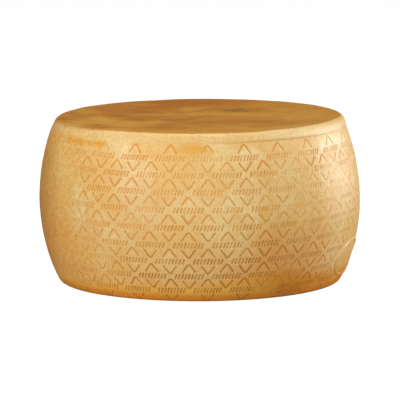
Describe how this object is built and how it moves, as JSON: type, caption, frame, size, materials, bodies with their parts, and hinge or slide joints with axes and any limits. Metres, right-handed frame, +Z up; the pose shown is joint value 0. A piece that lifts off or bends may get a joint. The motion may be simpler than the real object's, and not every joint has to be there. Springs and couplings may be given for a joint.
{
  "type": "cheese wheel",
  "caption": "Whole wheel of aged hard cheese: a drum with a bulging side, rounded edges, a slightly sunken top and a flat base to rest on.",
  "frame": {"origin": "centre of the flat base that the wheel rests on", "axes": "+Z up along the wheel's axis of rotation; -Y is the side seen from the front, +X is to the right"},
  "size_m": [0.42, 0.42, 0.215],
  "materials": {
    "rind": "waxy golden rind with a dry satin sheen, browner on the top face and along the stamped lines"
  },
  "bodies": {
    "root": {"cheese_wheel": "rind"}
  },
  "joints": []
}
